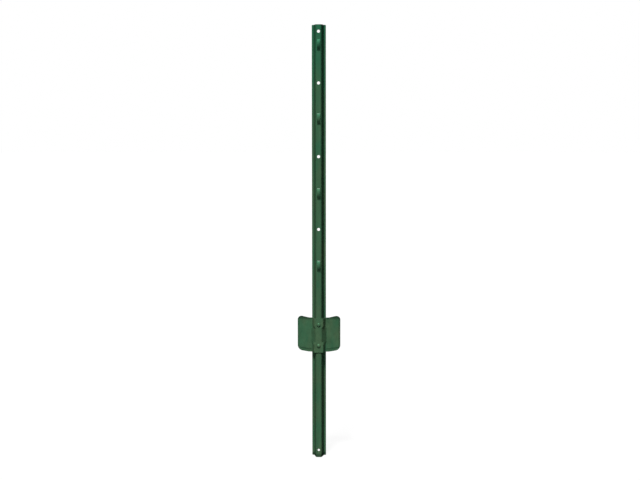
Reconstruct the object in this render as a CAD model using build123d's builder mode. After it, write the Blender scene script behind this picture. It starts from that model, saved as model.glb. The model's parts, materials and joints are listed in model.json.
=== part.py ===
from build123d import *
from math import radians, sin
import os

# Light-duty U-post, upright and in mm. Z runs up the post from its driven end, the web faces -Y
# and the open side of the channel faces +Y.

# Post: a strip of sheet, rolled into a web, two sloping legs and two narrow lips
post_length = 914.4
post_width = 29.4
post_depth = 19.0
sheet = 1.9
web_width = 10.2
mouth_width = 19.7
bend_radius = 2.2
lip_corner = 1.5

# Web holes and wire tabs, which alternate along the post. The two lower tabs sit a little below
# the pitch that the holes and the two upper tabs keep.
hole_diameter = 6.35
bottom_hole_diameter = 5.2
top_hole_inset = 14.2
bottom_hole_inset = 15.5
tab_pitch = 152.4
first_tab_drop = 43.7
tab_plate_clearance = 30.0
lower_tab_shift = 3.7

# One wire tab: a tongue cut out of the web on three sides and bowed forward, hinged at the bottom.
# Pressing spreads it a little past both sides of its opening.
tab_width = 6.0
tab_spread = 0.2
hinge_drop = 9.4
hinge_radius = 4.0
crown_radius = 14.4
rise_angle = 45
fall_angle = 40
tip_gap = 0.1

# Anchor plate: a pressed sheet with a channel over the web, two wings and trimmed edges. The wings'
# top corners lean forward, by corner_lean for each mm of height above the channel's top.
plate_sheet = 1.5
plate_width = 90.8
plate_height = 73.4
plate_center = 264.2
plate_bend = 2.6
channel_width = 18.0
channel_mouth = 27.2
channel_depth = 11.0
wing_sweep = 2.6
margin_width = 4.0
margin_sweep = 2.4
slope_width = 24.0
top_rise = 5.5
bottom_rise = 3.7
slope_blend = 16.0
top_corner = 8.5
bottom_corner = 12.0
corner_lean = 0.28

# Pressed gussets between the plate's channel and its wings, kept clear of the plate's ends
gusset_front_width = 11.8
gusset_back_width = 31.2
gusset_inset = 17.5
gusset_blend = 5.0

# Rivets through the plate and the web
rivet_inset = 14.2
shank_diameter = 4.8
head_diameter = 9.0
head_height = 2.3
tail_diameter = 6.6
tail_height = 1.6
tail_chamfer = 0.4

# Planes of the sheets that everything else is placed from
web_front = -post_depth / 2
web_back = web_front + sheet
web_middle = web_front + sheet / 2
lip_middle = post_depth / 2 - sheet / 2
plate_front = web_front - plate_sheet
plate_middle = web_front - plate_sheet / 2
wing_middle = plate_middle + channel_depth
through = 3 * sheet

plate_bottom = plate_center - plate_height / 2
plate_top = plate_center + plate_height / 2

# As many tabs as there is room for above the plate
tab_room = post_length - first_tab_drop - tab_plate_clearance - plate_top
tab_count = int(tab_room // tab_pitch) + 1
tab_marks = [post_length - first_tab_drop - i * tab_pitch for i in range(tab_count)]
upper_count = tab_count // 2
tab_centers = tab_marks[:upper_count] + [z - lower_tab_shift for z in tab_marks[upper_count:]]
between_tabs = [z - tab_pitch / 2 for z in tab_marks[:-1]]
hole_centers = [post_length - top_hole_inset] + between_tabs

# Height of a tab's opening, from its hinge to just above its tip
tab_peak = (hinge_radius + crown_radius) * sin(radians(rise_angle))
tab_height = tab_peak + (crown_radius + sheet / 2) * sin(radians(fall_angle)) + tip_gap

gusset_bottom = plate_bottom + gusset_inset + gusset_blend
gusset_top = plate_top - gusset_inset - gusset_blend
rivet_centers = [plate_top - rivet_inset, plate_bottom + rivet_inset]
slope_start = plate_width / 2 - slope_width


def both_sides(right_half):
    """A line's points on +X, from the middle outward, and the same points on -X before them."""
    left_half = [(-x, y) for x, y in reversed(right_half)]
    return left_half + right_half


post_line = both_sides(
    [
        (web_width / 2, web_middle),
        (mouth_width / 2, lip_middle),
        (post_width / 2, lip_middle),
    ]
)

with BuildPart() as post:
    # Rolled section
    with BuildSketch(Plane.XY):
        with BuildLine():
            FilletPolyline(*post_line, radius=bend_radius)
        trace(line_width=sheet)
    extrude(amount=post_length)

    # Sheared corners of the lips, rounded over
    lip_ends = post.edges().filter_by(Axis.Y).filter_by(
        lambda e: abs(abs(e.center().X) - post_width / 2) < 0.01
    )
    fillet(lip_ends, radius=lip_corner)

    # Round holes through the web
    with BuildSketch(Plane.XZ.offset(-web_back - sheet)):
        with Locations(*[(0, z) for z in hole_centers]):
            Circle(hole_diameter / 2)
        with Locations((0, bottom_hole_inset)):
            Circle(bottom_hole_diameter / 2)
        with Locations(*[(0, z) for z in rivet_centers]):
            Circle(shank_diameter / 2)
    extrude(amount=through, mode=Mode.SUBTRACT)

    # Openings that the wire tabs are cut from
    with BuildSketch(Plane.XZ.offset(-web_back - sheet)):
        with Locations(*[(0, z - hinge_drop + tab_height / 2) for z in tab_centers]):
            Rectangle(tab_width - 2 * tab_spread, tab_height)
    extrude(amount=through, mode=Mode.SUBTRACT)

    # Wire tabs, each bowed forward from its hinge and turned back toward the web at its tip
    for z in tab_centers:
        hinge = z - hinge_drop
        with BuildSketch(Plane.YZ):
            with BuildLine():
                root = Line((web_middle, hinge - sheet), (web_middle, hinge))
                rise = JernArc(root @ 1, root % 1, hinge_radius, rise_angle)
                JernArc(rise @ 1, rise % 1, crown_radius, -rise_angle - fall_angle)
            trace(line_width=sheet)
        extrude(amount=tab_width / 2, both=True)

# The wings' outer part is the same in both sections of the plate
wing_line = [
    (plate_width / 2 - margin_width, wing_middle + wing_sweep),
    (plate_width / 2, wing_middle + wing_sweep + margin_sweep),
]
channel_line = both_sides(
    [(channel_width / 2, plate_middle), (channel_mouth / 2, wing_middle)] + wing_line
)
gusset_line = both_sides(
    [(gusset_front_width / 2, plate_middle), (gusset_back_width / 2, wing_middle)] + wing_line
)
top_edge = both_sides([(slope_start, plate_top), (plate_width / 2, plate_top + top_rise)])
bottom_edge = both_sides(
    [(slope_start, plate_bottom), (plate_width / 2, plate_bottom + bottom_rise)]
)


def plate_section(line, z):
    """The plate's section at height z, as a sketch of the sheet's thickness along the line."""
    with BuildSketch(Plane.XY.offset(z)) as section:
        with BuildLine():
            FilletPolyline(*line, radius=plate_bend)
        trace(line_width=plate_sheet)
    return section.sketch


with BuildPart() as anchor_plate:
    # Pressed sheet: the channel below and above, the gussets in the middle, blends between them
    lower_end = plate_section(channel_line, plate_bottom)
    lower_blend = plate_section(channel_line, gusset_bottom - gusset_blend)
    middle_start = plate_section(gusset_line, gusset_bottom)
    middle_end = plate_section(gusset_line, gusset_top)
    upper_blend = plate_section(channel_line, gusset_top + gusset_blend)
    upper_end = plate_section(channel_line, plate_top)
    extrude(lower_end, amount=gusset_inset, dir=(0, 0, 1))
    loft([lower_blend.face(), middle_start.face()], ruled=True)
    extrude(middle_start, amount=gusset_top - gusset_bottom, dir=(0, 0, 1))
    loft([middle_end.face(), upper_blend.face()], ruled=True)
    extrude(upper_blend, amount=gusset_inset, dir=(0, 0, 1))

    # Wings' top corners, leaning forward
    corner_slope = Vector(0, -corner_lean, 1)
    extrude(upper_end, amount=top_rise * corner_slope.length, dir=corner_slope)

    # Blank's outline: edges that slope up toward the sides, and rounded corners
    with BuildSketch(Plane.XZ) as blank:
        with BuildLine():
            Polyline(*top_edge, *reversed(bottom_edge), close=True)
        make_face()
        side_corners = blank.vertices().filter_by(lambda v: abs(v.X) > plate_width / 2 - 0.01)
        fillet(side_corners.group_by(Axis.Y)[0], radius=bottom_corner)
        fillet(blank.vertices().group_by(Axis.Y)[-1], radius=top_corner)
        slope_starts = blank.vertices().filter_by(lambda v: abs(abs(v.X) - slope_start) < 0.01)
        fillet(slope_starts, radius=slope_blend)
    extrude(amount=post_depth * 2, both=True, mode=Mode.INTERSECT)

    # Rivet holes
    with BuildSketch(Plane.XZ.offset(-web_back - sheet)):
        with Locations(*[(0, z) for z in rivet_centers]):
            Circle(shank_diameter / 2)
    extrude(amount=through, mode=Mode.SUBTRACT)

with BuildPart() as rivet:
    # Domed head on the plate, shank through both sheets, flattened tail on the back of the web
    with BuildSketch(Plane.YZ):
        with BuildLine():
            dome = TangentArc(
                (plate_front - head_height, 0),
                (plate_front, head_diameter / 2),
                tangent=(0, 1),
            )
            Polyline(
                dome @ 1,
                (plate_front, shank_diameter / 2),
                (web_back, shank_diameter / 2),
                (web_back, tail_diameter / 2),
                (web_back + tail_height - tail_chamfer, tail_diameter / 2),
                (web_back + tail_height, tail_diameter / 2 - tail_chamfer),
                (web_back + tail_height, 0),
                dome @ 0,
            )
        make_face()
    revolve(axis=Axis.Y)

os.makedirs("parts", exist_ok=True)
post.part.label = "post"
export_step(post.part, "parts/post.step")
anchor_plate.part.label = "anchor_plate"
export_step(anchor_plate.part, "parts/anchor_plate.step")
for name, z in zip(("rivet_upper", "rivet_lower"), rivet_centers):
    placed = rivet.part.moved(Location((0, 0, z)))
    placed.label = name
    export_step(placed, f"parts/{name}.step")
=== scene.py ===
import json
import math

import bpy
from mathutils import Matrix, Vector


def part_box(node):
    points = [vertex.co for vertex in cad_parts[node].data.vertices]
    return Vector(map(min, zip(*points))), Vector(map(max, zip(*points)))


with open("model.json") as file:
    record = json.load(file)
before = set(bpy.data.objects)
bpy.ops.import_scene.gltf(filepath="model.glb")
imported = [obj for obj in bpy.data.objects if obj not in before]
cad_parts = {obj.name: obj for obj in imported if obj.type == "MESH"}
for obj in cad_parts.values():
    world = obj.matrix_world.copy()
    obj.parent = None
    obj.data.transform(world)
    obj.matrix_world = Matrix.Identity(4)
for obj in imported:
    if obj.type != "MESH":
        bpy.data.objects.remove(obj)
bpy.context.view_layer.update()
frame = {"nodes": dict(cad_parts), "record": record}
plate_low, plate_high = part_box("anchor_plate")

# Camera of the photograph: its distance from the post and its height in metres, its angles in
# degrees, and its lens in millimetres
CAMERA_DISTANCE = 2.4676
CAMERA_HEIGHT = 0.7286
CAMERA_AZIMUTH = 2.5
CAMERA_PITCH = 6.063
CAMERA_YAW = -0.062
CAMERA_ROLL = 0.045
CAMERA_LENS = 66.23

# Lamps: azimuth and elevation in degrees, strength, and softness in degrees. The key light is
# above and left of the camera, with a weak low light in front and one behind the post.
LAMPS = (
    ("key_light", -14.0, 62.0, 5.2, 10.0),
    ("front_light", -8.0, 15.0, 0.55, 20.0),
    ("back_light", 180.0, 25.0, 2.8, 30.0),
)

# Strength of the world's light on the post
AMBIENT = 0.03

# Floor: its size in metres, its glow and its grey to the eye, and its grey to bounced light
FLOOR_SIZE = 40.0
FLOOR_GLOW = 0.92
FLOOR_GREY = 0.06
FLOOR_BOUNCE_GREY = 0.03

# Cards: their grey, and their center and size in metres and angles in degrees
CARD_GREY = 0.02
CARDS = (
    ("card_back", (0.0, 0.15, 1.0), (1.6, 2.0, 1.0), (90.0, 0.0, 0.0)),
    ("card_left", (-0.8, -0.35, 1.0), (1.0, 2.0, 1.0), (90.0, 0.0, 90.0)),
    ("card_right", (0.8, -0.35, 1.0), (1.0, 2.0, 1.0), (90.0, 0.0, 90.0)),
    ("card_floor", (0.0, 0.99, 0.001), (3.0, 2.0, 1.0), (0.0, 0.0, 0.0)),
)

# Green enamel on the post, the plate and the rivets: its colours at three heights in metres, with a
# painted tint of the light on it, bluish toward the post's top and warmer lower down.
ENAMEL_HEIGHTS = (0.45, 0.72, 0.91)
ENAMEL_AND_LIGHT_COLORS = ((0.042, 0.099, 0.050), (0.036, 0.097, 0.049), (0.018, 0.099, 0.049))

# Least and greatest factor on the enamel's brightness and on its red, least and greatest change to
# its roughness, and the part of the noise's range that is spread over them
MOTTLE = (0.84, 1.14)
WARMTH = (0.74, 1.30)
SHEEN = (-0.05, 0.06)
NOISE_RANGE = (0.3, 0.7)

# Noise layers: waves per metre along X, Y and Z, detail, and roughness from octave to octave. The
# mottle's waves along Z differ from piece to piece.
MOTTLE_ACROSS = 90.0
MOTTLE_GRAIN = (3.0, 0.55)
WARMTH_NOISE = ((60.0, 60.0, 20.0), 2.0, 0.5)
SHEEN_NOISE = ((160.0, 160.0, 60.0), 2.0, 0.5)
PEEL_NOISE = ((620.0, 620.0, 620.0), 1.0, 0.4)
PEEL_STRENGTH = 0.24
PEEL_DEPTH = 0.0004

# The enamel's gloss
GLOSS_IOR = 1.5
GLOSS_LEVEL = 0.25
GLOSS_TINT = (0.24, 1.0, 0.60)

# Painted shade on the anchor plate's wings, in metres: a line of painted shade inside their lower
# edge, which slopes up toward the plate's sides, and a band of painted shade along their top, where
# their top edge leans forward, which fades in between two heights
WING_START = (0.0145, 0.0165)
SLOPE_WIDTH = 0.0240
SLOPE_RISE = 0.0037
EDGE_SLOPE = (plate_high.x - SLOPE_WIDTH, plate_high.x)
LOWER_EDGE = (plate_low.z, plate_low.z + SLOPE_RISE)
LINE_INSET = 0.0060
LINE_WIDTH = 0.0022
LINE_SHADE = 0.42
TOP_BAND = (plate_high.z - 0.0082, plate_high.z - 0.0057)
TOP_SHADE = 0.52

# Darker colour at the post's driven end, which fades out between two heights in metres
END_BAND = (0.0060, 0.0078)
END_SHADE = 0.50


def new_material(name):
    """A material with a Principled shader, its node tree and that shader."""
    material = bpy.data.materials.new(name)
    material.use_nodes = True
    tree = material.node_tree
    shader = next(n for n in tree.nodes if n.type == "BSDF_PRINCIPLED")
    return material, tree, shader


def add_node(tree, kind, **sockets):
    """A new node of that kind, with the named input sockets set."""
    node = tree.nodes.new(kind)
    for name, value in sockets.items():
        node.inputs[name.replace("_", " ")].default_value = value
    return node


def grey(level):
    """An opaque grey."""
    return (level, level, level, 1.0)


def stretched_noise(tree, waves, detail, roughness):
    """Noise in the object's own coordinates, with waves per metre along X, Y and Z."""
    place = tree.nodes.new("ShaderNodeTexCoord")
    stretch = add_node(tree, "ShaderNodeMapping", Scale=waves)
    noise = add_node(tree, "ShaderNodeTexNoise", Scale=1.0, Detail=detail, Roughness=roughness)
    tree.links.new(place.outputs["Object"], stretch.inputs["Vector"])
    tree.links.new(stretch.outputs["Vector"], noise.inputs["Vector"])
    return noise.outputs["Fac"]


def ranged(tree, source, low, high, start=NOISE_RANGE[0], end=NOISE_RANGE[1]):
    """The source, from start to end, spread over low to high."""
    spread = tree.nodes.new("ShaderNodeMapRange")
    spread.inputs["From Min"].default_value = start
    spread.inputs["From Max"].default_value = end
    spread.inputs["To Min"].default_value = low
    spread.inputs["To Max"].default_value = high
    tree.links.new(source, spread.inputs["Value"])
    return spread.outputs["Result"]


def calculated(tree, operation, *values):
    """The result of a Math node on sockets and plain numbers."""
    node = tree.nodes.new("ShaderNodeMath")
    node.operation = operation
    for socket, value in zip(node.inputs, values):
        if isinstance(value, float):
            socket.default_value = value
        else:
            tree.links.new(value, socket)
    return node.outputs[0]


def position(tree):
    """The place on the object, as sockets X, Y and Z in metres."""
    place = tree.nodes.new("ShaderNodeTexCoord")
    split = tree.nodes.new("ShaderNodeSeparateXYZ")
    tree.links.new(place.outputs["Object"], split.inputs[0])
    return split.outputs


def painted_wing_shade(tree):
    """A factor below 1 that paints shade on the wings' lower line and in their top band, and 1
    elsewhere.
    """
    place = position(tree)
    across = calculated(tree, "ABSOLUTE", place["X"])
    edge = ranged(tree, across, *LOWER_EDGE, *EDGE_SLOPE)
    above_edge = calculated(tree, "SUBTRACT", place["Z"], edge)
    off_line = calculated(tree, "SUBTRACT", above_edge, LINE_INSET)
    line = ranged(tree, calculated(tree, "ABSOLUTE", off_line), LINE_SHADE, 1.0, 0.0, LINE_WIDTH)
    band = ranged(tree, place["Z"], 1.0, TOP_SHADE, *TOP_BAND)
    on_wing = ranged(tree, across, 0.0, 1.0, *WING_START)
    change = calculated(tree, "SUBTRACT", calculated(tree, "MINIMUM", line, band), 1.0)
    return calculated(tree, "MULTIPLY_ADD", change, on_wing, 1.0)


def end_shade(tree):
    """A factor below 1 at the post's driven end, and 1 above it."""
    return ranged(tree, position(tree)["Z"], END_SHADE, 1.0, *END_BAND)


def color_by_height(tree):
    """The enamel's colour with a painted tint of the light, which turns bluer up the post."""
    tint = tree.nodes.new("ShaderNodeValToRGB")
    ramp = tint.color_ramp
    ramp.elements.new(ENAMEL_HEIGHTS[1])
    for stop, height, color in zip(ramp.elements, ENAMEL_HEIGHTS, ENAMEL_AND_LIGHT_COLORS):
        stop.position = height
        stop.color = (*color, 1.0)
    tree.links.new(position(tree)["Z"], tint.inputs["Fac"])
    return tint.outputs["Color"]


def enamel(name, streaks, roughness, shade=None):
    """Dipped green enamel: streaks is the waves per metre of its mottle along Z, roughness that of
    its gloss, and shade a function that makes a factor on its colour."""
    material, tree, shader = new_material(name)
    mottle = stretched_noise(tree, (MOTTLE_ACROSS, MOTTLE_ACROSS, streaks), *MOTTLE_GRAIN)
    patches = stretched_noise(tree, *WARMTH_NOISE)
    warm = add_node(tree, "ShaderNodeCombineXYZ", Y=1.0, Z=1.0)
    tree.links.new(ranged(tree, patches, *WARMTH), warm.inputs["X"])
    hue = tree.nodes.new("ShaderNodeVectorMath")
    hue.operation = "MULTIPLY"
    # The colour by height carries a painted tint of the light, bluer toward the top.
    tree.links.new(color_by_height(tree), hue.inputs[0])
    tree.links.new(warm.outputs["Vector"], hue.inputs[1])
    coat = tree.nodes.new("ShaderNodeVectorMath")
    coat.operation = "SCALE"
    tree.links.new(hue.outputs["Vector"], coat.inputs[0])
    strength = ranged(tree, mottle, *MOTTLE)
    if shade:
        strength = calculated(tree, "MULTIPLY", strength, shade(tree))
    tree.links.new(strength, coat.inputs["Scale"])
    tree.links.new(coat.outputs["Vector"], shader.inputs["Base Color"])

    uneven = stretched_noise(tree, *SHEEN_NOISE)
    sheen = ranged(tree, uneven, roughness + SHEEN[0], roughness + SHEEN[1])
    tree.links.new(sheen, shader.inputs["Roughness"])

    peel = stretched_noise(tree, *PEEL_NOISE)
    bump = add_node(tree, "ShaderNodeBump", Strength=PEEL_STRENGTH, Distance=PEEL_DEPTH)
    tree.links.new(peel, bump.inputs["Height"])
    tree.links.new(bump.outputs["Normal"], shader.inputs["Normal"])

    shader.inputs["IOR"].default_value = GLOSS_IOR
    shader.inputs["Specular IOR Level"].default_value = GLOSS_LEVEL
    shader.inputs["Specular Tint"].default_value = (*GLOSS_TINT, 1.0)
    return material


finishes = {
    "post": enamel("post_enamel", streaks=7.0, roughness=0.54, shade=end_shade),
    # The plate's colour carries painted shade on its wings.
    "anchor_plate": enamel("plate_enamel", streaks=70.0, roughness=0.50, shade=painted_wing_shade),
    "rivets": enamel("rivet_enamel", streaks=90.0, roughness=0.46),
}
for part in frame["record"]["subparts"]:
    for slot in frame["nodes"][part["node"]].material_slots:
        slot.material = finishes[part["material_slot"]]


def seen_background(tree):
    """1 for a camera, glossy or transmission ray, and 0 for the others."""
    path = tree.nodes.new("ShaderNodeLightPath")
    seen = path.outputs["Is Camera Ray"]
    for ray in ("Is Glossy Ray", "Is Transmission Ray"):
        seen = calculated(tree, "MAXIMUM", seen, path.outputs[ray])
    return seen


def show_by_ray(tree, lit, seen, output_kind):
    """Shows one shader to the eye and in gloss, and lets the other light the post."""
    choice = tree.nodes.new("ShaderNodeMixShader")
    output = tree.nodes.new(output_kind)
    tree.links.new(seen_background(tree), choice.inputs["Fac"])
    tree.links.new(lit.outputs[0], choice.inputs[1])
    tree.links.new(seen.outputs[0], choice.inputs[2])
    tree.links.new(choice.outputs[0], output.inputs["Surface"])


def empty_tree(owner):
    """The node tree of a world or a material, with its first nodes deleted."""
    owner.use_nodes = True
    owner.node_tree.nodes.clear()
    return owner.node_tree


# World: white to the eye and in gloss, and a dim fill on the post
world = bpy.data.worlds.new("studio")
bpy.context.scene.world = world
tree = empty_tree(world)
fill = add_node(tree, "ShaderNodeBackground", Color=grey(1.0), Strength=AMBIENT)
white = add_node(tree, "ShaderNodeBackground", Color=grey(1.0), Strength=1.0)
show_by_ray(tree, fill, white, "ShaderNodeOutputWorld")

# Floor: white to the eye with the post's faint shadow, and grey to the light that bounces off it
bpy.ops.mesh.primitive_plane_add(size=FLOOR_SIZE, location=(0.0, 0.0, 0.0))
floor = bpy.context.object
floor.name = "floor"
floor_material = bpy.data.materials.new("floor_paper")
tree = empty_tree(floor_material)
paper = add_node(tree, "ShaderNodeBsdfDiffuse", Color=grey(FLOOR_GREY))
glow = add_node(tree, "ShaderNodeEmission", Color=grey(1.0), Strength=FLOOR_GLOW)
pale = tree.nodes.new("ShaderNodeAddShader")
tree.links.new(paper.outputs[0], pale.inputs[0])
tree.links.new(glow.outputs[0], pale.inputs[1])
dim = add_node(tree, "ShaderNodeBsdfDiffuse", Color=grey(FLOOR_BOUNCE_GREY))
show_by_ray(tree, dim, pale, "ShaderNodeOutputMaterial")
floor.data.materials.append(floor_material)


def add_sun(name, azimuth, elevation, strength, softness):
    """A soft distant lamp. It shines from -Y at azimuth 0, and from the left of it below 0."""
    lamp = bpy.data.lights.new(name, "SUN")
    lamp.energy = strength
    lamp.angle = math.radians(softness)
    holder = bpy.data.objects.new(name, lamp)
    bpy.context.scene.collection.objects.link(holder)
    turn = math.radians(azimuth)
    rise = math.radians(elevation)
    toward = Vector(
        (math.sin(turn) * math.cos(rise), -math.cos(turn) * math.cos(rise), math.sin(rise))
    )
    holder.rotation_euler = toward.to_track_quat("Z", "Y").to_euler()


for lamp in LAMPS:
    add_sun(*lamp)

# Dark cards behind the post, beside it and just above the floor, which only its gloss sees
card_material = bpy.data.materials.new("card_paint")
tree = empty_tree(card_material)
black = add_node(tree, "ShaderNodeBsdfDiffuse", Color=grey(CARD_GREY))
output = tree.nodes.new("ShaderNodeOutputMaterial")
tree.links.new(black.outputs[0], output.inputs["Surface"])
for name, center, size, angles in CARDS:
    bpy.ops.mesh.primitive_plane_add(size=1.0, location=center)
    card = bpy.context.object
    card.name = name
    card.scale = size
    card.rotation_euler = [math.radians(angle) for angle in angles]
    card.data.materials.append(card_material)
    card.visible_camera = False
    card.visible_diffuse = False
    card.visible_shadow = False

# Camera
camera_data = bpy.data.cameras.new("camera")
camera_data.lens = CAMERA_LENS
camera = bpy.data.objects.new("camera", camera_data)
bpy.context.scene.collection.objects.link(camera)
turn = math.radians(CAMERA_AZIMUTH)
camera.location = (
    CAMERA_DISTANCE * math.sin(turn),
    -CAMERA_DISTANCE * math.cos(turn),
    CAMERA_HEIGHT,
)
camera.rotation_euler = (
    math.radians(90.0 - CAMERA_PITCH),
    math.radians(CAMERA_ROLL),
    math.radians(CAMERA_AZIMUTH + CAMERA_YAW),
)
bpy.context.scene.camera = camera
bpy.context.scene.view_settings.view_transform = "Standard"
